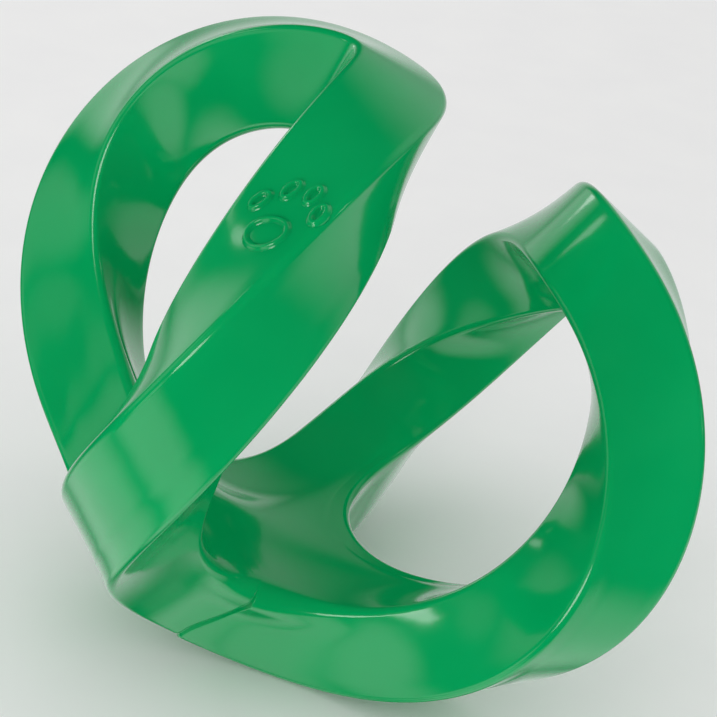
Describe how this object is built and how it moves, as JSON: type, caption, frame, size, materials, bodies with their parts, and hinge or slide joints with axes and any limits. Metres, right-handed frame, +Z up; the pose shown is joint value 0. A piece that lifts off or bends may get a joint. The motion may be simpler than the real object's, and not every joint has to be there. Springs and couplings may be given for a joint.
{
  "type": "twisted pet chew loop",
  "caption": "Twisted square-section elastomer bar, bent into a closed loop and joined to itself at a webbed neck, with open rings that gape at the far end; a pet chew and tug toy.",
  "frame": {"origin": "ground level under the middle of the bounding box, with the loop in its rest pose on the neck and the flank of its rings", "axes": "+Z up, -Y towards the viewer of the marked strand, +X to that viewer's right"},
  "size_m": [0.1278, 0.1224, 0.1157],
  "materials": {
    "green_elastomer": "smooth glossy moulded elastomer, dyed through, with raised outline mark in the same material"
  },
  "bodies": {
    "root": {"chew_loop": "green_elastomer"}
  },
  "joints": []
}
